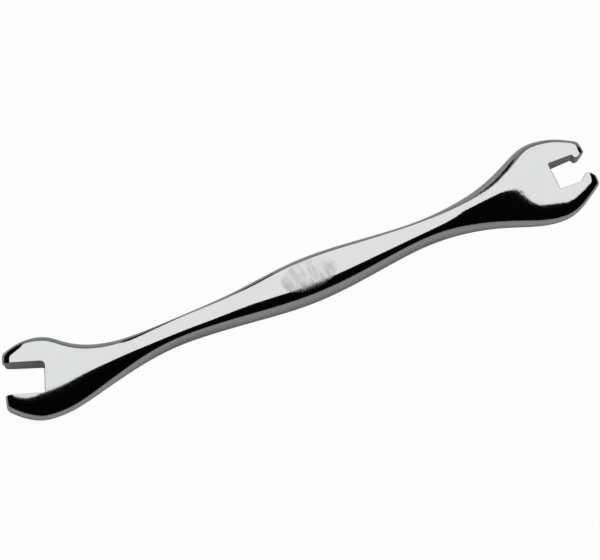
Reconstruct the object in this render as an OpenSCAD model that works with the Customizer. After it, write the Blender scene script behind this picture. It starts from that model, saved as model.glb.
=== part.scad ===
// Double-ended spoke wrench: one drop-forged, chrome-plated piece.
// A plain open jaw is at the -X end and a hooked open jaw at the +X end. The forging is a loft of rounded
// sections along a spine that bends into each head, and the jaws are cut through it afterwards.

/* [Plain jaw] */
// Gap of the plain jaw, across the nipple flats it grips
plain_jaw_w = 6.5; // [5.5:0.1:7.5]
// Depth of the plain jaw, from its throat to the front of its head
plain_jaw_depth = 8.25; // [7:0.25:10]
// Angle between the plain jaw and the handle
plain_jaw_turn = 20; // [0:1:30]
// Corner radius at the far side of the plain jaw's throat
plain_far_corner_r = 0.9; // [0.2:0.1:1.5]
// Corner radius at the near side of the plain jaw's throat
plain_near_corner_r = 0.3; // [0.2:0.1:1.5]

/* [Plain head] */
// Width of the plain head at its widest
plain_head_w = 17.2; // [15.5:0.1:20]
// Thickness of the plain head behind its throat
plain_head_t = 4.5; // [3.8:0.1:5.5]
// Thickness that the plain head thins to at its front
plain_tip_t = 4.2; // [3.4:0.1:4.6]

/* [Hooked jaw] */
// Gap of the hooked jaw, across the nipple flats it grips
hooked_jaw_w = 6; // [5:0.1:6.6]
// Depth of the hooked jaw, from its throat to the front of its head
hooked_jaw_depth = 8.3; // [7.9:0.1:10]
// Angle between the axis of the hooked head and the handle
hooked_head_turn = 3; // [0:1:10]
// Corner radius at both sides of the hooked jaw's throat
hooked_corner_r = 0.4; // [0.2:0.1:1]
// Length of the far flat, from the throat to the far hook
far_flat_len = 5.3; // [4.6:0.1:5.6]
// Height of the far hook above its flat
far_hook_rise = 0.85; // [0.4:0.05:1.2]
// Length over which the far hook rises
far_ramp_len = 0.4; // [0.2:0.1:0.8]
// Length of the near flat, from the throat to the near hook
near_flat_len = 4.7; // [4.2:0.1:5]
// Height of the near hook above its flat
near_hook_rise = 1.3; // [0.4:0.05:1.5]
// Length over which the near hook rises
near_ramp_len = 1.6; // [0.8:0.1:1.8]
// Length of the flat tip of each hook
hook_tip_len = 0.75; // [0.4:0.05:0.9]
// How far the mouth opens again on each side, from the hook tips to the front
mouth_flare = 1; // [0.4:0.1:1.3]

/* [Hooked head] */
// Width of the hooked head at its widest
hooked_head_w = 18.1; // [16.5:0.1:20]
// Thickness of the hub, the crest between the neck and the thinner hooked head, before it is ground
hub_t = 7.1; // [6.4:0.1:7.4]
// Thickness of the hooked head at its throat
hooked_head_t = 4.2; // [3.4:0.1:5]
// Thickness that the hooked head thins to at its front
hooked_tip_t = 2.9; // [2.4:0.1:3.6]

/* [Handle] */
// Distance between the two throats, along the handle
throat_span = 111.5; // [95:0.5:140]
// Width of the neck next to the plain head
plain_neck_w = 5.4; // [4.5:0.1:7]
// Width of the neck next to the hooked head
hooked_neck_w = 5.5; // [4.5:0.1:7]
// Thickness of both necks
neck_t = 5.4; // [4.5:0.1:6]
// How far the handle bows to the far side, next to the plain head
bow = 0.5; // [0:0.1:1]
// Width of the belly in the middle of the handle
belly_w = 9.4; // [8:0.1:12]
// Thickness of the belly before its underside is ground flat
belly_t = 6.6; // [6:0.1:7.4]
// How far the underside of the belly is ground off, which leaves a flat pad there and on the hub
pad_depth = 0.25; // [0.15:0.05:0.4]

/* [Edges] */
// Radius at which the sides of a head turn into its front, seen from above
tip_corner_r = 1.2; // [0.8:0.1:1.6]
// Radius that rolls the faces of the plain head down to its front
plain_roll_r = 1.4; // [0.8:0.1:1.5]
// Radius that rolls the faces of the hooked head down to its front
hooked_roll_r = 1.1; // [0.6:0.1:1.1]
// Radius of the corners between the plain jaw and the front of its head
mouth_corner_r = 0.5; // [0.3:0.1:0.8]

/* [Smoothness] */
// Sections between two rows of the loft
row_steps = 5; // [3:1:6]
// Points across one face of a section
face_steps = 18; // [12:1:20]
// Sections round the front of each head
tip_steps = 4; // [3:1:6]

/* [Hidden] */
// Overrun of the jaw cuts past the faces and the fronts of the heads
overrun = 3;
// Facets of the round throat corners, which stay true arcs
corner_facets = 32;

half_span = throat_span / 2;
// Where the axis of a head leaves the axis of the handle, as a share of the half span
plain_bend_share = 0.926;
hooked_bend_share = 0.85;

// Rows of the loft. Each row starts with the share of the stretch it is in, the share of the step in
// width and the share of the step in thickness. The squareness of its section comes next: 2 is an
// ellipse, and more is flatter on the faces and rounder at the sides. The share of the bow comes last.

// Rows in a head, from its front back to just past its throat. The stretch is the jaw's depth from the
// throat, the width steps from neck to head, and the thickness from the throat's to the front's.
plain_nose_shares = [
    [0.93, 0.6, 1, 5.4, -0.3], [0.65, 0.832, 0.35, 5.4, 0.1], [0.35, 0.978, 0, 5.4, 0.5]
];
hooked_nose_shares = [
    [0.93, 0.43, 1, 5.2, 0.3], [0.6, 0.695, 0.7, 5.2, 0.5], [0.3, 0.894, 0.4, 5.2, 0.65]
];

// Rows between the throat and the hub of the hooked head. The stretch is half the span from here on, and
// the thickness steps from the hub's to the throat's.
hub_shares = [[0.975, 1.051, 0.85, 4.5, 0.4], [0.9, 0.906, 0.26, 3.1, 0]];

// Rows in a neck, from the head to the handle. The thickness steps from the neck's to the plain head's or
// the hub's.
plain_neck_shares = [
    [1, 1.044, 0.8, 4.6, 0.8], [0.93, 0.849, 0.6, 3.5, 1], [0.84, 0.458, 0.45, 2.6, -0.25],
    [0.73, 0.163, 0.3, 2.7, -0.55], [0.6, -0.01, 0.1, 3.5, 0.45], [0.46, -0.047, -0.1, 4.2, 1.05]
];
hooked_neck_shares = [
    [0.81, 0.554, 1.2, 2, 0.1], [0.71, 0.221, 0.8, 2, 0.15],
    [0.58, 0.01, 0.33, 2.5, 0.5], [0.44, -0.068, 0.2, 3.8, 0.5]
];

// Rows in the belly. Width and thickness step from the neck's to the belly's. The curve runs inside its
// rows, so the middle one is past 1.
plain_belly_shares = [0.26, 0.255, 0.5, 4.2, 0];
middle_belly_shares = [0, 1.263, 1.21, 4.2, 0.2];
hooked_belly_shares = [0.24, 0.554, 0.67, 4.3, 0.2];

// Height of the middle plane of the forging over its ground pads
middle_z = belly_t / 2 - pad_depth;

// Value a given share of the way from one to another
function between(from, to, share) = from + (to - from) * share;

// Point on the axis of the wrench at a signed distance from the middle of the handle
function axis_point(along) =
    let (
        side = sign(along),
        bend = half_span * (along < 0 ? plain_bend_share : hooked_bend_share),
        turn = along < 0 ? plain_jaw_turn : hooked_head_turn,
        past = abs(along) - bend
    )
    past <= 0 ? [along, 0] : [side * (bend + past * cos(turn)), past * sin(turn)];

// Rows of one stretch, which starts at a distance from the middle of the handle and runs on by a length;
// side is -1 or 1 along X. A row is its spine point, half width, half thickness and squareness.
function stretch_rows(side, start, run, shares, widths, thicknesses) = [
    for (share = shares)
        concat(
            axis_point(side * (start + run * share[0])) + [0, bow * share[4]],
            [between(widths[0], widths[1], share[1]) / 2,
                between(thicknesses[0], thicknesses[1], share[2]) / 2, share[3]])
];

plain_widths = [plain_neck_w, plain_head_w];
hooked_widths = [hooked_neck_w, hooked_head_w];
neck_w_mean = (plain_neck_w + hooked_neck_w) / 2;
belly_ts = [neck_t, belly_t];
hooked_rows = concat(
    stretch_rows(1, half_span, hooked_jaw_depth, hooked_nose_shares, hooked_widths,
        [hooked_head_t, hooked_tip_t]),
    stretch_rows(1, 0, half_span, hub_shares, hooked_widths, [hub_t, hooked_head_t]),
    stretch_rows(1, 0, half_span, hooked_neck_shares, hooked_widths, [neck_t, hub_t]),
    stretch_rows(1, 0, half_span, [hooked_belly_shares], [hooked_neck_w, belly_w], belly_ts)
);
rows = concat(
    stretch_rows(-1, half_span, plain_jaw_depth, plain_nose_shares, plain_widths,
        [plain_head_t, plain_tip_t]),
    stretch_rows(-1, 0, half_span, plain_neck_shares, plain_widths, [neck_t, plain_head_t]),
    stretch_rows(-1, 0, half_span, [plain_belly_shares], [plain_neck_w, belly_w], belly_ts),
    stretch_rows(1, 0, half_span, [middle_belly_shares], [neck_w_mean, belly_w], belly_ts),
    [for (i = [len(hooked_rows) - 1 : -1 : 0]) hooked_rows[i]]
);
last_row = len(rows) - 1;

// Rows carried straight on past both ends, so that the curve starts and stops at its end rows
guide = concat([2 * rows[0] - rows[1]], rows, [2 * rows[last_row] - rows[last_row - 1]]);

// Cubic B-spline weights of four neighbouring rows, t of the way along a span
function spline_weights(t) = [pow(1 - t, 3), 3 * pow(t, 3) - 6 * pow(t, 2) + 4,
    3 * (t + pow(t, 2) - pow(t, 3)) + 1, pow(t, 3)] / 6;

// Loft values at station k, counted in steps from the front of the plain head
function station(k) =
    let (
        span = min(floor(k / row_steps), last_row - 1),
        weights = spline_weights(k / row_steps - span)
    )
    weights * [for (i = [0 : 3]) guide[span + i]];

last_station = last_row * row_steps;
stations = [for (k = [0 : last_station]) station(k)];

// Unit direction of the spine at a station, towards +X
function spine_direction(k) =
    let (
        back = stations[max(k - 1, 0)],
        ahead = stations[min(k + 1, last_station)],
        step = [ahead[0] - back[0], ahead[1] - back[1]]
    )
    step / norm(step);

// Plan point of a station
function station_point(k) = [stations[k][0], stations[k][1]];

// Station at the front of a head; side is -1 at the plain head and 1 at the hooked
function end_station(side) = side < 0 ? 0 : last_station;

// Angle between the spine and the slanting sides of a head at its last row
function side_slant(side) =
    let (
        k = end_station(side),
        run = norm(station_point(k) - station_point(k - side))
    )
    atan((stations[k - side][2] - stations[k][2]) / run);

// How far the front of a head lies past its last row, once its sides have turned square to the spine
function front_reach(side) = tip_corner_r * (1 - sin(side_slant(side)));

// Thickness that each face loses to the roll of its front, at a distance behind that front
function roll_loss(side, behind) =
    let (
        r = side < 0 ? plain_roll_r : hooked_roll_r
    )
    behind < r ? r - sqrt(pow(r, 2) - pow(r - behind, 2)) : 0;

// A section: spine point, unit direction, half width, half thickness and squareness
function body_section(k) =
    let (
        side = 2 * k < last_station ? -1 : 1,
        behind = norm(station_point(k) - station_point(end_station(side))) + front_reach(side)
    )
    [station_point(k), spine_direction(k), stations[k][2],
        stations[k][3] - roll_loss(side, behind), stations[k][4]];

// Sections that close a head: its sides turn square to the spine on the corner radius
function tip_sections(side) =
    let (
        k = end_station(side),
        end = body_section(k),
        slant = side_slant(side)
    )
    [for (i = [1 : tip_steps])
        let (
            heading = between(slant, 90, i / tip_steps),
            advance = tip_corner_r * (sin(heading) - sin(slant)),
            narrowing = tip_corner_r * (cos(slant) - cos(heading)),
            loss = roll_loss(side, max(0, front_reach(side) - advance))
        )
        [end[0] + side * advance * end[1], end[1], end[2] - narrowing, stations[k][3] - loss, end[4]]
    ];

plain_tip = tip_sections(-1);
hooked_tip = tip_sections(1);
sections = concat(
    [for (i = [tip_steps - 1 : -1 : 0]) plain_tip[i]],
    [for (k = [0 : last_station]) body_section(k)],
    hooked_tip
);

// Points of a section: over the top face from one side to the other, and back under the bottom face
function section_points(section) =
    let (
        across = [-section[1][1], section[1][0]]
    )
    [for (j = [0 : 2 * face_steps - 1])
        let (
            reach = cos(180 * j / face_steps),
            rise = sqrt(max(0, 1 - pow(abs(reach), section[4]))),
            flat_point = section[0] + section[2] * reach * across
        )
        [flat_point[0], flat_point[1], section[3] * rise * (j <= face_steps ? 1 : -1)]
    ];

rings = [for (section = sections) section_points(section)];
ring_len = 2 * face_steps;
ring_count = len(rings);
loft_points = [for (ring = rings) each ring];

// Index of point j in ring i, where j runs on past the end of the ring to its start
function point_at(i, j) = i * ring_len + j % ring_len;

loft_faces = concat(
    [for (i = [0 : ring_count - 2]) for (j = [0 : ring_len - 1]) each [
        [point_at(i, j), point_at(i + 1, j), point_at(i + 1, j + 1)],
        [point_at(i, j), point_at(i + 1, j + 1), point_at(i, j + 1)]
    ]],
    [[for (j = [0 : ring_len - 1]) point_at(0, j)]],
    [[for (j = [ring_len - 1 : -1 : 0]) point_at(ring_count - 1, j)]]
);

// Middle of the outline, which places the part on its frame
xs = [for (point = loft_points) point[0]];
ys = [for (point = loft_points) point[1]];
outline_middle = [min(xs) + max(xs), min(ys) + max(ys)] / 2;

cut_h = hub_t + overrun;

// Outline of a gap that opens along +X, with its throat at X 0 and a round corner at each side
module throat_outline(width, length, far_r, near_r) {
    polygon([
        [far_r, width / 2], [length, width / 2], [length, -width / 2],
        [near_r, -width / 2], [0, near_r - width / 2], [0, width / 2 - far_r]
    ]);
    translate([far_r, width / 2 - far_r]) circle(r = far_r, $fn = corner_facets);
    translate([near_r, near_r - width / 2]) circle(r = near_r, $fn = corner_facets);
}

// Outline that widens a gap at the front of a head, where it leaves the head's two corners rounded
module mouth_outline(width, depth) {
    difference() {
        translate([depth - mouth_corner_r, -width / 2 - mouth_corner_r])
            square([mouth_corner_r + overrun, width + 2 * mouth_corner_r]);
        for (side = [-1, 1])
            translate([depth - mouth_corner_r, side * (width / 2 + mouth_corner_r)])
                circle(r = mouth_corner_r, $fn = corner_facets);
    }
}

// Cut for the plain jaw: parallel flats that run out through the front of the head
module plain_jaw_cut() {
    translate(axis_point(-half_span))
        rotate([0, 0, -plain_jaw_turn])
        mirror([1, 0, 0])
        linear_extrude(height = cut_h, center = true) {
        throat_outline(plain_jaw_w, plain_jaw_depth + overrun, plain_far_corner_r, plain_near_corner_r);
        mouth_outline(plain_jaw_w, plain_jaw_depth);
    }
}

// Cut for the hooked jaw: a pocket with parallel flats, closed in by a hook at each side of its mouth
module hooked_jaw_cut() {
    half_gap = hooked_jaw_w / 2;
    far_tip = half_gap - far_hook_rise;
    near_tip = half_gap - near_hook_rise;
    far_tip_start = far_flat_len + far_ramp_len;
    near_tip_start = near_flat_len + near_ramp_len;
    mouth_out = hooked_jaw_depth + overrun;
    pocket_len = min(far_flat_len, near_flat_len);
    translate(axis_point(half_span))
        linear_extrude(height = cut_h, center = true) {
        throat_outline(hooked_jaw_w, pocket_len, hooked_corner_r, hooked_corner_r);
        polygon([
            [pocket_len, half_gap], [far_flat_len, half_gap], [far_tip_start, far_tip],
            [far_tip_start + hook_tip_len, far_tip], [hooked_jaw_depth, far_tip + mouth_flare],
            [mouth_out, far_tip + mouth_flare], [mouth_out, -near_tip - mouth_flare],
            [hooked_jaw_depth, -near_tip - mouth_flare], [near_tip_start + hook_tip_len, -near_tip],
            [near_tip_start, -near_tip], [near_flat_len, -half_gap], [pocket_len, -half_gap]
        ]);
    }
}

// The forged blank: the loft, with the underside of its belly and hub ground flat
module blank() {
    grinding = [2 * throat_span, 2 * hooked_head_w, belly_t];
    difference() {
        polyhedron(points = loft_points, faces = loft_faces);
        translate([0, 0, -middle_z - belly_t / 2]) cube(grinding, center = true);
    }
}

// The finished wrench: the blank with both jaws cut through it, set on its frame
module wrench_forging() {
    color("gainsboro")
        translate([-outline_middle[0], -outline_middle[1], middle_z])
        difference() {
        blank();
        plain_jaw_cut();
        hooked_jaw_cut();
    }
}

wrench_forging();
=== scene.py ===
import math

import bpy
import numpy as np
from mathutils import Matrix, Vector
from mathutils.geometry import delaunay_2d_cdt


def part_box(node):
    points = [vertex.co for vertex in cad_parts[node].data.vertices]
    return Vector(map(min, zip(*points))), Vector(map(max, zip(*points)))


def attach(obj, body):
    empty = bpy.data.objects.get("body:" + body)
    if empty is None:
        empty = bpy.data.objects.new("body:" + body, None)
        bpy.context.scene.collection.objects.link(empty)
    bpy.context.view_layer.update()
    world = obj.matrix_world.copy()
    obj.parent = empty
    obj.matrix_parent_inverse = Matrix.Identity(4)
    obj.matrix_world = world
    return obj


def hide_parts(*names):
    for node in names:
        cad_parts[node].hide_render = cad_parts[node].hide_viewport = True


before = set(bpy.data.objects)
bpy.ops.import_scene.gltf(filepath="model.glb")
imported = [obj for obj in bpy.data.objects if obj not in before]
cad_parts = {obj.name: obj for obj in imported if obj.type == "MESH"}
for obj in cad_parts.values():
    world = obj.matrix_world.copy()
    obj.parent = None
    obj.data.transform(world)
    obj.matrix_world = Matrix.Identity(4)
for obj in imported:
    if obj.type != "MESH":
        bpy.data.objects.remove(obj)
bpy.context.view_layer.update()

# The wrench forging.
# One bar of steel, drop forged to its swelled handle and two open heads, ground and polished all over,
# then bright chrome plated. The two jaws are broached through the heads, which leaves their walls a
# satin grey, and the underside of the belly and of the hub is ground flat.

# Sizes in millimetres: the plain head, the hooked head with its hub, the handle and the rounded edges.
PLAIN_W, PLAIN_T, PLAIN_TIP_T, PLAIN_JAW, PLAIN_DEPTH, PLAIN_TURN = 17.2, 4.5, 4.2, 6.5, 8.25, 20.0
HOOK_W, HOOK_T, HOOK_TIP_T, HOOK_DEPTH, HOOK_TURN, HUB_T = 18.1, 4.2, 2.9, 8.3, 3.0, 7.1
HALF_SPAN, PLAIN_NECK_W, HOOK_NECK_W, NECK_T, BELLY_W, BELLY_T = 55.75, 5.4, 5.5, 5.4, 9.4, 6.6
BOW, PAD_Z, PLAIN_BEND, HOOK_BEND = 0.5, 3.05, 0.926, 0.85
TIP_CORNER, PLAIN_ROLL, HOOK_ROLL = 1.2, (1.7, 1.4), (1.8, 1.1)

# Sizes of the jaws: the corners and mouth of the plain one, then the flats, hooks and corners of the
# hooked one, and the rounding of their edges.
PLAIN_FAR_CORNER, PLAIN_NEAR_CORNER, MOUTH_CORNER, MOUTH_STEP = 0.9, 0.3, 0.5, 0.55
HOOK_JAW, HOOK_CORNER, HOOK_TIP_LEN, MOUTH_FLARE, RAMP_CORNER = 6.0, 0.4, 0.75, 1.0, 0.2
FAR_FLAT, FAR_RISE, FAR_RAMP, NEAR_FLAT, NEAR_RISE, NEAR_RAMP = 5.3, 0.85, 0.4, 4.7, 1.3, 1.6
FAR_RAMP_CORNER, HOOK_TIP_CORNER, JAW_EDGE = 0.12, 0.25, 0.16

# Rows of the forging: place, steps in width and in thickness, squareness of the section, and bow.
PLAIN_NOSE = [(0.93, 0.6, 1, 5.4, -0.3), (0.65, 0.832, 0.35, 5.4, 0.1), (0.35, 0.978, 0, 5.4, 0.5)]
HOOK_NOSE = [(0.93, 0.43, 1, 5.2, 0.3), (0.6, 0.695, 0.7, 5.2, 0.5), (0.3, 0.894, 0.4, 5.2, 0.65)]
HUB = [(0.975, 1.051, 0.85, 4.5, 0.4), (0.9, 0.906, 0.26, 3.1, 0)]
PLAIN_NECK = [
    (1, 1.044, 0.8, 4.6, 0.8), (0.93, 0.849, 0.6, 3.5, 1), (0.84, 0.458, 0.45, 2.6, -0.25),
    (0.73, 0.163, 0.3, 2.7, -0.55), (0.6, -0.01, 0.1, 3.5, 0.45), (0.46, -0.047, -0.1, 4.2, 1.05),
]
HOOK_NECK = [
    (0.81, 0.554, 1.2, 2, 0.1), (0.71, 0.221, 0.8, 2, 0.15),
    (0.58, 0.01, 0.33, 2.5, 0.5), (0.44, -0.068, 0.2, 3.8, 0.5),
]


def axis_point(along):
    bend, turn = (PLAIN_BEND, PLAIN_TURN) if along < 0 else (HOOK_BEND, HOOK_TURN)
    past = abs(along) - bend * HALF_SPAN
    if past <= 0:
        return along, 0.0
    turn = math.radians(turn)
    return math.copysign(bend * HALF_SPAN + past * math.cos(turn), along), past * math.sin(turn)


def stretch(side, start, run, shares, widths, thicknesses):
    """Rows of one stretch of the forging: axis point, half width, half thickness and squareness."""
    made = []
    for place, width, thickness, square, aside in shares:
        x, y = axis_point(side * (start + run * place))
        half_w = (widths[0] + (widths[1] - widths[0]) * width) / 2
        half_t = (thicknesses[0] + (thicknesses[1] - thicknesses[0]) * thickness) / 2
        made.append((x, y + BOW * aside, half_w, half_t, square))
    return made


plain_widths, hook_widths = (PLAIN_NECK_W, PLAIN_W), (HOOK_NECK_W, HOOK_W)
neck_mean = (PLAIN_NECK_W + HOOK_NECK_W) / 2
rows = stretch(-1, HALF_SPAN, PLAIN_DEPTH, PLAIN_NOSE, plain_widths, (PLAIN_T, PLAIN_TIP_T))
rows += stretch(-1, 0, HALF_SPAN, PLAIN_NECK, plain_widths, (NECK_T, PLAIN_T))
rows += stretch(-1, 0, HALF_SPAN, [(0.26, 0.255, 0.5, 4.2, 0)], (PLAIN_NECK_W, BELLY_W), (NECK_T, BELLY_T))
rows += stretch(1, 0, HALF_SPAN, [(0, 1.263, 1.21, 4.2, 0.2)], (neck_mean, BELLY_W), (NECK_T, BELLY_T))
rows += stretch(1, 0, HALF_SPAN, [(0.24, 0.554, 0.67, 4.3, 0.2)], (HOOK_NECK_W, BELLY_W), (NECK_T, BELLY_T))
rows += stretch(1, 0, HALF_SPAN, HOOK_NECK, hook_widths, (NECK_T, HUB_T))[::-1]
rows += stretch(1, 0, HALF_SPAN, HUB, hook_widths, (HUB_T, HOOK_T))[::-1]
rows += stretch(1, HALF_SPAN, HOOK_DEPTH, HOOK_NOSE, hook_widths, (HOOK_T, HOOK_TIP_T))[::-1]
rows = np.array(rows)
guide = np.vstack([2 * rows[0] - rows[1], rows, 2 * rows[-1] - rows[-2]])


def spline(at):
    """Cubic B-spline through the rows, at values counted in rows."""
    span = np.minimum(at.astype(int), len(rows) - 2)
    t = (at - span)[:, None]
    weights = ((1 - t) ** 3, 3 * t**3 - 6 * t**2 + 4, 3 * (t + t**2 - t**3) + 1, t**3)
    return sum(w * guide[span + i] for i, w in enumerate(weights)) / 6


def roll_loss(behind, roll):
    """Thickness that a face loses to the roll of its front, at a distance behind the front."""
    length, depth = roll
    return depth * (1 - np.sqrt(1 - np.clip(1 - behind / length, 0, 1) ** 2))


def tip(end, inner, steps):
    """Rows that turn the slanting sides of a head square to its axis, on the corner radius."""
    run = end[:2] - inner[:2]
    slant = math.atan((inner[2] - end[2]) / np.linalg.norm(run))
    heading = slant + (math.pi / 2 - slant) * np.linspace(0, 1, steps + 1)[1:]
    advance = TIP_CORNER * (np.sin(heading) - math.sin(slant))
    made = np.repeat(end[None], steps, 0)
    made[:, :2] += np.outer(advance, run / np.linalg.norm(run))
    made[:, 2] -= TIP_CORNER * (math.cos(slant) - np.cos(heading))
    return made, advance, TIP_CORNER * (1 - math.sin(slant))


body = spline(np.linspace(0, len(rows) - 1, (len(rows) - 1) * 24 + 1))
plain_tip, plain_advance, plain_reach = tip(body[0], body[1], 14)
hook_tip, hook_advance, hook_reach = tip(body[-1], body[-2], 14)
middle = len(body) // 2
plain_end, hook_end = body[0, :2].copy(), body[-1, :2].copy()
behind = np.linalg.norm(body[:middle, :2] - plain_end, axis=1) + plain_reach
body[:middle, 3] -= roll_loss(behind, PLAIN_ROLL)
behind = np.linalg.norm(body[middle:, :2] - hook_end, axis=1) + hook_reach
body[middle:, 3] -= roll_loss(behind, HOOK_ROLL)
plain_tip[:, 3] -= roll_loss(plain_reach - plain_advance, PLAIN_ROLL)
hook_tip[:, 3] -= roll_loss(hook_reach - hook_advance, HOOK_ROLL)
table = np.vstack([plain_tip[::-1], body, hook_tip])
heading = np.gradient(table[:, :2], axis=0)
heading /= np.linalg.norm(heading, axis=1)[:, None]
STATIONS = len(table)

# Polishing that the rows leave out, set so that light and dark meet on the chrome as in the photo.
# Each pass is (place along the handle, reach to each side, amount): how much squarer it leaves the
# section, or how far it leans the crown of the hub to the near side.
SQUARER = [(-60.5, 5, 1.9), (-26, 14, 2), (0.5, 13, 0.9), (13, 11, 0.52), (23.5, 11, 0.85)]
LEANER = [(42, 13, 0.21), (50.5, 4.5, 0.07)]


def polished(passes):
    """What the passes add up to at each station, each fading smoothly to nothing at its reach."""
    made = np.zeros(STATIONS)
    for place, reach, amount in passes:
        away_from_it = np.clip((table[:, 0] - place) / reach, -1, 1)
        made += amount * np.cos(away_from_it * math.pi / 2) ** 2
    return made


table[:, 4] += polished(SQUARER)
table = np.hstack([table, heading, polished(LEANER)[:, None]])


def section(at):
    return np.stack([np.interp(at, np.arange(STATIONS), column) for column in table.T], 1)


def surface(at, roll):
    """Points of the loft at stations and roll angles, where 90 degrees is the far side and 0 the top."""
    x, y, half_w, half_t, square, dx, dy, lean = section(at).T
    reach = np.sin(roll)
    rise = half_t * np.sqrt(np.maximum(0, 1 - np.abs(reach) ** square)) * np.sign(np.cos(roll))
    rise += lean * half_w * reach * (1 - reach**2) ** 2
    return np.stack([x - dy * half_w * reach, y + dx * half_w * reach, rise], 1)


def surface_normal(at, roll):
    along = surface(np.minimum(at + 0.5, STATIONS - 1), roll) - surface(np.maximum(at - 0.5, 0), roll)
    round_it = surface(at, roll + 0.01) - surface(at, roll - 0.01)
    made = np.cross(along, round_it)
    return made / np.maximum(np.linalg.norm(made, axis=1), 1e-12)[:, None]


def locate(points):
    """Station and roll of points of the top face, given from above."""
    at = np.argmin(((points[:, None] - table[None, :, :2]) ** 2).sum(2), 1).astype(float)
    for _ in range(6):
        s = section(at)
        off = ((points - s[:, :2]) * s[:, 5:7]).sum(1)
        ahead = section(np.minimum(at + 0.5, STATIONS - 1)) - section(np.maximum(at - 0.5, 0))
        at = np.clip(at + off / np.maximum(np.linalg.norm(ahead[:, :2], axis=1), 1e-6), 0, STATIONS - 1)
    s = section(at)
    reach = ((points - s[:, :2]) * np.stack([-s[:, 6], s[:, 5]], 1)).sum(1) / s[:, 2]
    return at, np.arcsin(np.clip(reach, -1, 1))


def rounded(corners):
    """Closed outline through (x, y, radius) corners, as points about 0.1 mm apart."""
    made = []
    count = len(corners)
    for i, (x, y, r) in enumerate(corners):
        here = np.array([x, y])
        to_last = np.array(corners[i - 1][:2]) - here
        to_next = np.array(corners[(i + 1) % count][:2]) - here
        to_last, to_next = to_last / np.linalg.norm(to_last), to_next / np.linalg.norm(to_next)
        half = math.acos(np.clip(to_last @ to_next, -1, 1)) / 2
        if r == 0:
            made.append(here)
            continue
        middle = (to_last + to_next) / np.linalg.norm(to_last + to_next)
        centre = here + middle * r / math.sin(half)
        start, end = here + to_last * r / math.tan(half), here + to_next * r / math.tan(half)
        a0 = math.atan2(*(start - centre)[::-1])
        turn = (math.atan2(*(end - centre)[::-1]) - a0 + math.pi) % (2 * math.pi) - math.pi
        for share in np.linspace(0, 1, 9):
            made.append(centre + r * np.array([math.cos(a0 + turn * share), math.sin(a0 + turn * share)]))
    dense = []
    for a, b in zip(made, made[1:] + made[:1]):
        steps = max(1, int(np.linalg.norm(b - a) / 0.1))
        dense += [a + (b - a) * k / steps for k in range(steps)]
    return np.array(dense)


def placed(outline, centre, direction):
    """An outline drawn with its throat at 0 and its mouth along +X, moved to a head."""
    d = np.array(direction)
    return centre + outline[:, :1] * d + outline[:, 1:] * np.array([-d[1], d[0]])


OUT = 12.0
half = PLAIN_JAW / 2
mouth = half + MOUTH_STEP
plain_gap = rounded([
    (0, half, PLAIN_NEAR_CORNER), (0, -half, PLAIN_FAR_CORNER), (PLAIN_DEPTH, -half, MOUTH_CORNER),
    (PLAIN_DEPTH, -mouth, 0), (OUT, -mouth, 0), (OUT, mouth, 0), (PLAIN_DEPTH, mouth, 0),
    (PLAIN_DEPTH, half, MOUTH_CORNER),
])
turn = math.radians(PLAIN_TURN)
plain_gap = placed(plain_gap, np.array(axis_point(-HALF_SPAN)), (-math.cos(turn), math.sin(turn)))
half = HOOK_JAW / 2
near_tip, near_at = half - NEAR_RISE, NEAR_FLAT + NEAR_RAMP
far_tip, far_at = half - FAR_RISE, FAR_FLAT + FAR_RAMP
hook_gap = rounded([
    (0, -half, HOOK_CORNER), (NEAR_FLAT, -half, RAMP_CORNER), (near_at, -near_tip, HOOK_TIP_CORNER),
    (near_at + HOOK_TIP_LEN, -near_tip, HOOK_TIP_CORNER), (HOOK_DEPTH, -near_tip - MOUTH_FLARE, RAMP_CORNER),
    (OUT, -near_tip - MOUTH_FLARE, 0), (OUT, far_tip + MOUTH_FLARE, 0),
    (HOOK_DEPTH, far_tip + MOUTH_FLARE, RAMP_CORNER), (far_at + HOOK_TIP_LEN, far_tip, HOOK_TIP_CORNER),
    (far_at, far_tip, HOOK_TIP_CORNER), (FAR_FLAT, half, FAR_RAMP_CORNER), (0, half, HOOK_CORNER),
])
hook_gap = placed(hook_gap, np.array(axis_point(HALF_SPAN)), (1, 0))
gaps = [plain_gap, hook_gap]


def inside(points, loop):
    """Whether points lie inside a closed outline."""
    hit = np.zeros(len(points), bool)
    for a, b in zip(loop, np.roll(loop, -1, 0)):
        crosses = (a[1] > points[:, 1]) != (b[1] > points[:, 1])
        with np.errstate(divide="ignore", invalid="ignore"):
            x = a[0] + (points[:, 1] - a[1]) * (b[0] - a[0]) / (b[1] - a[1])
        hit ^= crosses & (points[:, 0] < x)
    return hit


def nearest(points, loop):
    """Distance from points to a closed outline, and the unit direction towards it."""
    best = np.full(len(points), 1e9)
    foot = np.zeros_like(points)
    for a, b in zip(loop, np.roll(loop, -1, 0)):
        ab = b - a
        share = np.clip(((points - a) @ ab) / (ab @ ab), 0, 1)[:, None]
        f = a + share * ab
        d = np.linalg.norm(points - f, axis=1)
        closer = d < best
        best[closer], foot[closer] = d[closer], f[closer]
    way = foot - points
    return best, way / np.maximum(np.linalg.norm(way, axis=1), 1e-9)[:, None]


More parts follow.
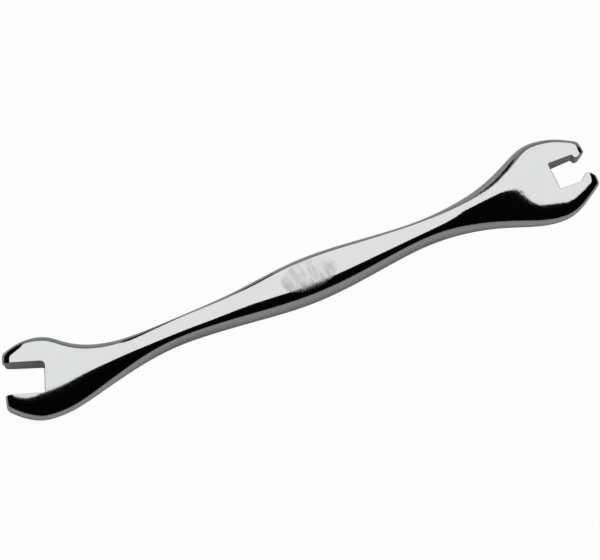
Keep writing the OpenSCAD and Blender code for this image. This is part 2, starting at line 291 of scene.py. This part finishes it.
# Points of the top face seen from above: the loft's own grid, and rows that follow the jaw edges.
ROLLS = np.radians(np.linspace(-90, 90, 73))
grid_at = np.repeat(np.arange(STATIONS, dtype=float), len(ROLLS))
grid_roll = np.tile(ROLLS, STATIONS)
grid = surface(grid_at, grid_roll)[:, :2]
keep = np.ones(len(grid), bool)
extra, edges = [], []
for loop in gaps:
    near = (np.abs(grid - loop.mean(0)) < 16).all(1)
    keep[near] &= ~(inside(grid[near], loop) | (nearest(grid[near], loop)[0] < JAW_EDGE * 1.15))
side = np.isin(np.arange(len(grid)) % len(ROLLS), [0, len(ROLLS) - 1])
cap = (grid_at == 0) | (grid_at == STATIONS - 1)
keep |= side | cap
index = np.cumsum(keep) - 1
first, last = np.arange(STATIONS) * len(ROLLS), np.arange(STATIONS) * len(ROLLS) + len(ROLLS) - 1
ends = [np.arange(len(ROLLS)), (STATIONS - 1) * len(ROLLS) + np.arange(len(ROLLS))]
for chain in (first, last, *ends):
    edges += [(int(index[a]), int(index[b])) for a, b in zip(chain, chain[1:])]
points = [grid[keep]]
count = int(keep.sum())
for loop in gaps:
    tangent = np.roll(loop, -1, 0) - np.roll(loop, 1, 0)
    normal = np.stack([tangent[:, 1], -tangent[:, 0]], 1) / np.linalg.norm(tangent, axis=1)[:, None]
    if inside(loop[:1] + normal[:1] * 0.01, loop)[0]:
        normal = -normal
    edges += [(count + i, count + (i + 1) % len(loop)) for i in range(len(loop))]
    points.append(loop)
    count += len(loop)
    for share in (0.034, 0.134, 0.293, 0.5, 0.741, 1.0, 1.4):
        row = loop + normal * JAW_EDGE * share
        row = row[nearest(row, loop)[0] > JAW_EDGE * share * 0.97]
        points.append(row)
        count += len(row)
points = np.vstack(points)
flat, _, triangles, origin, _, _ = delaunay_2d_cdt([Vector(p) for p in points.tolist()], edges, [], 0, 1e-7)
flat = np.array(flat)
triangles = np.array(triangles)
outline = np.vstack([grid[first], grid[ends[1]], grid[last][::-1], grid[ends[0]][::-1]])
middle = flat[triangles].mean(1)
wanted = inside(middle, outline)
for loop in gaps:
    wanted &= ~inside(middle, loop)
a, b, c = (flat[triangles[:, i]] for i in range(3))
area = (b[:, 0] - a[:, 0]) * (c[:, 1] - a[:, 1]) - (b[:, 1] - a[:, 1]) * (c[:, 0] - a[:, 0])
triangles[area < 0] = triangles[area < 0][:, ::-1]
triangles = triangles[wanted & (np.abs(area) > 1e-9)]
used = np.unique(triangles)
renumber = np.full(len(flat), -1)
renumber[used] = np.arange(len(used))
triangles = renumber[triangles]
flat = flat[used]

# Height and normal of every point: from the loft's grid where it is one of its points, or else located.
source = np.array([origin[i][0] if origin[i] else -1 for i in used])
kept_at, kept_roll = grid_at[keep], grid_roll[keep]
on_grid = (source >= 0) & (source < len(kept_at))
at, roll = np.zeros(len(flat)), np.zeros(len(flat))
at[on_grid], roll[on_grid] = kept_at[source[on_grid]], kept_roll[source[on_grid]]
at[~on_grid], roll[~on_grid] = locate(flat[~on_grid])
top = surface(at, roll)
top[:, :2] = flat
normals = surface_normal(at, roll)
normals[normals[:, 2] < 0] *= -1
rim = on_grid & (np.abs(roll) > math.pi / 2 - 1e-6)
top[rim, 2] = 0
for loop in gaps:
    gap, way = nearest(flat, loop)
    share = np.clip((JAW_EDGE - gap) / JAW_EDGE, 0, 1)
    close = share > 0
    up = np.sqrt(1 - share**2)
    top[:, 2] -= np.where(close, JAW_EDGE * (1 - up), 0) * np.clip(top[:, 2] / (2 * JAW_EDGE), 0, 1)
    turned = np.hstack([way * share[:, None], np.zeros((len(way), 1))]) + normals * up[:, None]
    normals[close] = turned[close]
normals /= np.linalg.norm(normals, axis=1)[:, None]

# The bottom face mirrors the top, but for its ground pads. Walls join them round the jaws and across
# the fronts of the heads.
count = len(top)
bottom_index = np.arange(count) + count
bottom_index[rim] = np.arange(count)[rim]
bottom = top * [1, 1, -1]
ground = np.clip((top[:, 2] - PAD_Z) / 0.04 + 0.5, 0, 1)[:, None]
bottom[:, 2] = np.maximum(bottom[:, 2], -PAD_Z)
verts = np.vstack([top, bottom])
mirrored = normals * [1, 1, -1] * (1 - ground) + np.array([0, 0, -1]) * ground
mirrored /= np.linalg.norm(mirrored, axis=1)[:, None]
faces = [tuple(t) for t in triangles] + [tuple(bottom_index[t][::-1]) for t in triangles]
loop_normals = [normals[i] for t in triangles for i in t]
loop_normals += [mirrored[i] for t in triangles for i in t[::-1]]
directed = {(int(t[i]), int(t[(i + 1) % 3])) for t in triangles for i in range(3)}
borders = [(i, j) for i, j in directed if (j, i) not in directed]
wall_count = len(faces)
walls_of_jaw = []
for i, j in sorted(borders):
    if rim[i] and rim[j]:
        continue
    wall = [i, int(bottom_index[i]), int(bottom_index[j]), j]
    along = flat[j] - flat[i]
    out = np.array([along[1], -along[0], 0]) / max(np.linalg.norm(along), 1e-9)
    in_jaw = min(nearest(np.array([(flat[i] + flat[j]) / 2]), loop)[0][0] for loop in gaps) < 0.004
    pairs = [(i, wall[0]), (i, wall[1]), (j, wall[2]), (j, wall[3])]
    lights = []
    for k, vertex in pairs:
        level = np.array([normals[k][0], normals[k][1], 0])
        level = level / max(np.linalg.norm(level), 1e-9)
        lights.append(level if in_jaw and level @ out > 0.9 else out)
    if rim[i]:
        wall, lights = wall[1:], lights[1:]
    elif rim[j]:
        wall, lights = wall[:3], lights[:3]
    faces.append(tuple(wall))
    loop_normals += lights
    walls_of_jaw.append(in_jaw)

mesh = bpy.data.meshes.new("wrench")
mesh.from_pydata((verts / 1000).tolist(), [], [tuple(int(i) for i in f) for f in faces])
mesh.polygons.foreach_set("use_smooth", [True] * len(faces))
mesh.polygons.foreach_set("material_index", [0] * wall_count + [1 if w else 0 for w in walls_of_jaw])
mesh.update()
mesh.normals_split_custom_set([tuple(n) for n in loop_normals])
wrench = bpy.data.objects.new("wrench", mesh)
bpy.context.scene.collection.objects.link(wrench)

# The mesh goes to its place in the frame. It is drawn in where it would stand out of the part's box, from
# the sides to the middle and from the top down, so that it still lies on the floor.
used = np.unique([i for face in faces for i in face])
PLACE = Vector((0.29278e-3, -1.09121e-3, PAD_Z / 1000))
cad_low, cad_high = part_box("wrench_forging")
still = (cad_low + cad_high) / 2
still.z = cad_low.z
low, high = Vector(verts[used].min(0) / 1000) + PLACE, Vector(verts[used].max(0) / 1000) + PLACE
fit = [min(1.0, (cad_high[i] - still[i]) / max(high[i] - still[i], still[i] - low[i])) for i in range(3)]
scale = Matrix.Diagonal((*fit, 1))
mesh.transform(Matrix.Translation(still) @ scale @ Matrix.Translation(PLACE - still))


def new_material(name):
    made = bpy.data.materials.new(name)
    made.use_nodes = True
    nodes, links = made.node_tree.nodes, made.node_tree.links
    shader = nodes["Principled BSDF"]
    return made, nodes, links, shader


def noise(nodes, links, coords, scale, detail=2.0, stretch=(1, 1, 1)):
    place = nodes.new("ShaderNodeMapping")
    place.inputs["Scale"].default_value = stretch
    links.new(coords, place.inputs["Vector"])
    made = nodes.new("ShaderNodeTexNoise")
    made.inputs["Scale"].default_value = scale
    made.inputs["Detail"].default_value = detail
    links.new(place.outputs["Vector"], made.inputs["Vector"])
    return made.outputs["Fac"]


def ranged(nodes, links, value, low, high, to_low, to_high):
    made = nodes.new("ShaderNodeMapRange")
    for key, v in (("From Min", low), ("From Max", high), ("To Min", to_low), ("To Max", to_high)):
        made.inputs[key].default_value = v
    links.new(value, made.inputs["Value"])
    return made.outputs["Result"]


def maths(nodes, links, kind, a, b):
    made = nodes.new("ShaderNodeMath")
    made.operation = kind
    for i, v in enumerate((a, b)):
        if isinstance(v, (int, float)):
            made.inputs[i].default_value = v
        else:
            links.new(v, made.inputs[i])
    return made.outputs["Value"]


# The chrome: faint smears, and fine polishing grain that is coarser from the hub on. A frosted oval is
# etched on the top of the belly, given in metres by its middle and half axes, above a height.
OVAL = (("X", 0.0013, 0.0061), ("Y", -0.0009, 0.0033))
OVAL_ABOVE = 0.004

chrome, nodes, links, shader = new_material("bright_chrome")
coords = nodes.new("ShaderNodeTexCoord").outputs["Object"]
shader.inputs["Base Color"].default_value = (0.735, 0.74, 0.745, 1)
shader.inputs["Metallic"].default_value = 1.0
smears = noise(nodes, links, coords, 90, 4, (0.4, 1, 1))
rough = ranged(nodes, links, smears, 0.35, 0.75, 0.05, 0.09)
split = nodes.new("ShaderNodeSeparateXYZ")
links.new(coords, split.inputs["Vector"])
outward = 0.0
for axis, centre_at, half_axis in OVAL:
    off = maths(nodes, links, "SUBTRACT", split.outputs[axis], centre_at)
    share = maths(nodes, links, "DIVIDE", off, half_axis)
    outward = maths(nodes, links, "ADD", outward, maths(nodes, links, "POWER", share, 2.0))
etch_grain = noise(nodes, links, coords, 1500, 3, (1, 0.3, 1))
ragged = maths(nodes, links, "ADD", outward, maths(nodes, links, "MULTIPLY", etch_grain, 0.06))
oval = ranged(nodes, links, ragged, 0.95, 1.06, 1.0, 0.0)
on_top = maths(nodes, links, "GREATER_THAN", split.outputs["Z"], OVAL_ABOVE)
frost = ranged(nodes, links, etch_grain, 0.35, 0.65, 0.16, 0.34)
blend = nodes.new("ShaderNodeMix")
links.new(maths(nodes, links, "MULTIPLY", oval, on_top), blend.inputs["Factor"])
links.new(rough, blend.inputs["A"])
links.new(frost, blend.inputs["B"])
links.new(blend.outputs["Result"], shader.inputs["Roughness"])
waves = maths(nodes, links, "MULTIPLY", noise(nodes, links, coords, 380, 2), 0.3)
coarser = ranged(nodes, links, split.outputs["X"], 0.02, 0.036, 0.25, 1.2)
grain = maths(nodes, links, "MULTIPLY", noise(nodes, links, coords, 3000, 2, (1, 0.4, 1)), coarser)
bump = nodes.new("ShaderNodeBump")
bump.inputs["Strength"].default_value = 1.0
bump.inputs["Distance"].default_value = 0.00001
links.new(maths(nodes, links, "ADD", waves, grain), bump.inputs["Height"])
links.new(bump.outputs["Normal"], shader.inputs["Normal"])

# The broached walls: cutting lines that run through the thickness, light and dark.
broached, nodes, links, shader = new_material("broached_steel")
coords = nodes.new("ShaderNodeTexCoord").outputs["Object"]
shader.inputs["Metallic"].default_value = 1.0
cuts = noise(nodes, links, coords, 5200, 3, (1, 1, 0.05))
tone = nodes.new("ShaderNodeMix")
tone.data_type = "RGBA"
tone.inputs["A"].default_value = (0.48, 0.48, 0.49, 1)
tone.inputs["B"].default_value = (0.76, 0.765, 0.77, 1)
links.new(cuts, tone.inputs["Factor"])
links.new(tone.outputs["Result"], shader.inputs["Base Color"])
links.new(ranged(nodes, links, cuts, 0.3, 0.7, 0.34, 0.48), shader.inputs["Roughness"])
bump = nodes.new("ShaderNodeBump")
bump.inputs["Strength"].default_value = 0.4
bump.inputs["Distance"].default_value = 0.00002
links.new(cuts, bump.inputs["Height"])
links.new(bump.outputs["Normal"], shader.inputs["Normal"])

mesh.materials.append(chrome)
mesh.materials.append(broached)
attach(wrench, "root")
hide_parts("wrench_forging")

# The floor.
# A plain white paper sweep that the wrench lies on. Seen straight on it is white, and metal sees it as
# the dimmer paper next to a tool that shades it.
FLOOR, WHITE_TO_CAMERA, WHITE_TO_METAL = 3, 0.97, 0.04

floor_mesh = bpy.data.meshes.new("floor")
floor_corners = [(-FLOOR, -FLOOR, 0), (FLOOR, -FLOOR, 0), (FLOOR, FLOOR, 0), (-FLOOR, FLOOR, 0)]
floor_mesh.from_pydata(floor_corners, [], [(0, 1, 2, 3)])
floor = bpy.data.objects.new("floor", floor_mesh)
bpy.context.scene.collection.objects.link(floor)
paper = bpy.data.materials.new("white_paper")
paper.use_nodes = True
nodes, links = paper.node_tree.nodes, paper.node_tree.links
nodes.clear()
path = nodes.new("ShaderNodeLightPath")
dull = nodes.new("ShaderNodeBsdfDiffuse")
dull.inputs["Color"].default_value = (0.8, 0.8, 0.8, 1)
white = nodes.new("ShaderNodeEmission")
white.inputs["Strength"].default_value = 1.0
shown = nodes.new("ShaderNodeMixShader")
seen = maths(nodes, links, "MULTIPLY", path.outputs["Is Camera Ray"], WHITE_TO_CAMERA)
mirrored = maths(nodes, links, "MULTIPLY", path.outputs["Is Glossy Ray"], WHITE_TO_METAL)
links.new(maths(nodes, links, "ADD", seen, mirrored), shown.inputs["Fac"])
links.new(dull.outputs["BSDF"], shown.inputs[1])
links.new(white.outputs["Emission"], shown.inputs[2])
out = nodes.new("ShaderNodeOutputMaterial")
links.new(shown.outputs["Shader"], out.inputs["Surface"])
floor_mesh.materials.append(paper)

# The light.
# A white panel hangs over the wrench and behind it, with grey cards standing under its far edge and in
# front. The rest of the room is dark, and the polished metal mirrors it as black.
CAMERA_TURN = math.radians(-23.25)
right = Vector((math.cos(CAMERA_TURN), math.sin(CAMERA_TURN), 0))
away = Vector((-math.sin(CAMERA_TURN), math.cos(CAMERA_TURN), 0))


def card(name, corners, strength):
    """A glowing sheet through corners given as (right, away, height), unseen by the camera."""
    sheet_mesh = bpy.data.meshes.new(name)
    verts = [tuple(right * r + away * a + Vector((0, 0, z))) for r, a, z in corners]
    sheet_mesh.from_pydata(verts, [], [tuple(range(len(corners)))])
    sheet = bpy.data.objects.new(name, sheet_mesh)
    bpy.context.scene.collection.objects.link(sheet)
    glow = bpy.data.materials.new(name + "_glow")
    glow.use_nodes = True
    nodes, links = glow.node_tree.nodes, glow.node_tree.links
    nodes.clear()
    shine = nodes.new("ShaderNodeEmission")
    shine.inputs["Strength"].default_value = strength
    out = nodes.new("ShaderNodeOutputMaterial")
    links.new(shine.outputs["Emission"], out.inputs["Surface"])
    sheet_mesh.materials.append(glow)
    sheet.visible_camera = False


PANEL = [(-0.42, 0.226, 1), (-0.46, 0.95, 1), (-1, 2.68, 1), (1.6, 2.68, 1), (0.62, 0.226, 1)]
card("light_panel", PANEL, 1.0)
card("far_card", [(-1, 2.68, 1), (2.4, 2.68, 1), (2.4, 2.68, 0), (-1, 2.68, 0)], 0.2)
card("near_card", [(-5, -2, 0), (6, -2, 0), (6, -2, 0.66), (-5, -2, 0.66)], 0.26)

# The room's walls: how dim the metal sees them, how much they light the floor, and white to the camera.
ROOM_IN_METAL, ROOM_FILL, ROOM_TO_CAMERA = 0.002, 0.22, 1.0
world = bpy.data.worlds.new("room")
bpy.context.scene.world = world
world.use_nodes = True
nodes, links = world.node_tree.nodes, world.node_tree.links
nodes.clear()
path = nodes.new("ShaderNodeLightPath")
room = nodes.new("ShaderNodeBackground")
room.inputs["Strength"].default_value = ROOM_IN_METAL
fill = nodes.new("ShaderNodeBackground")
fill.inputs["Strength"].default_value = ROOM_FILL
pick = nodes.new("ShaderNodeMixShader")
links.new(path.outputs["Is Glossy Ray"], pick.inputs["Fac"])
links.new(fill.outputs["Background"], pick.inputs[1])
links.new(room.outputs["Background"], pick.inputs[2])
white = nodes.new("ShaderNodeBackground")
white.inputs["Strength"].default_value = ROOM_TO_CAMERA
shown = nodes.new("ShaderNodeMixShader")
links.new(path.outputs["Is Camera Ray"], shown.inputs["Fac"])
links.new(pick.outputs["Shader"], shown.inputs[1])
links.new(white.outputs["Background"], shown.inputs[2])
out = nodes.new("ShaderNodeOutputWorld")
links.new(shown.outputs["Shader"], out.inputs["Surface"])

# The camera.
# A long lens, 70 degrees above level, with the picture's level along its own width, as in the photo.
RISE, DISTANCE = math.radians(70), 0.4848
back = Vector((0, 0, math.sin(RISE))) - away * math.cos(RISE)
aim = Vector((-0.35722e-3, -0.23121e-3, 3.05e-3))
camera_data = bpy.data.cameras.new("camera")
camera_data.lens = 144
camera_data.sensor_width = 36
camera_data.clip_start = 0.01
camera = bpy.data.objects.new("camera", camera_data)
bpy.context.scene.collection.objects.link(camera)
camera.location = aim + back * DISTANCE
camera.rotation_mode = "QUATERNION"
camera.rotation_quaternion = (-back).to_track_quat("-Z", "Y")
bpy.context.scene.camera = camera
bpy.context.scene.view_settings.view_transform = "Standard"
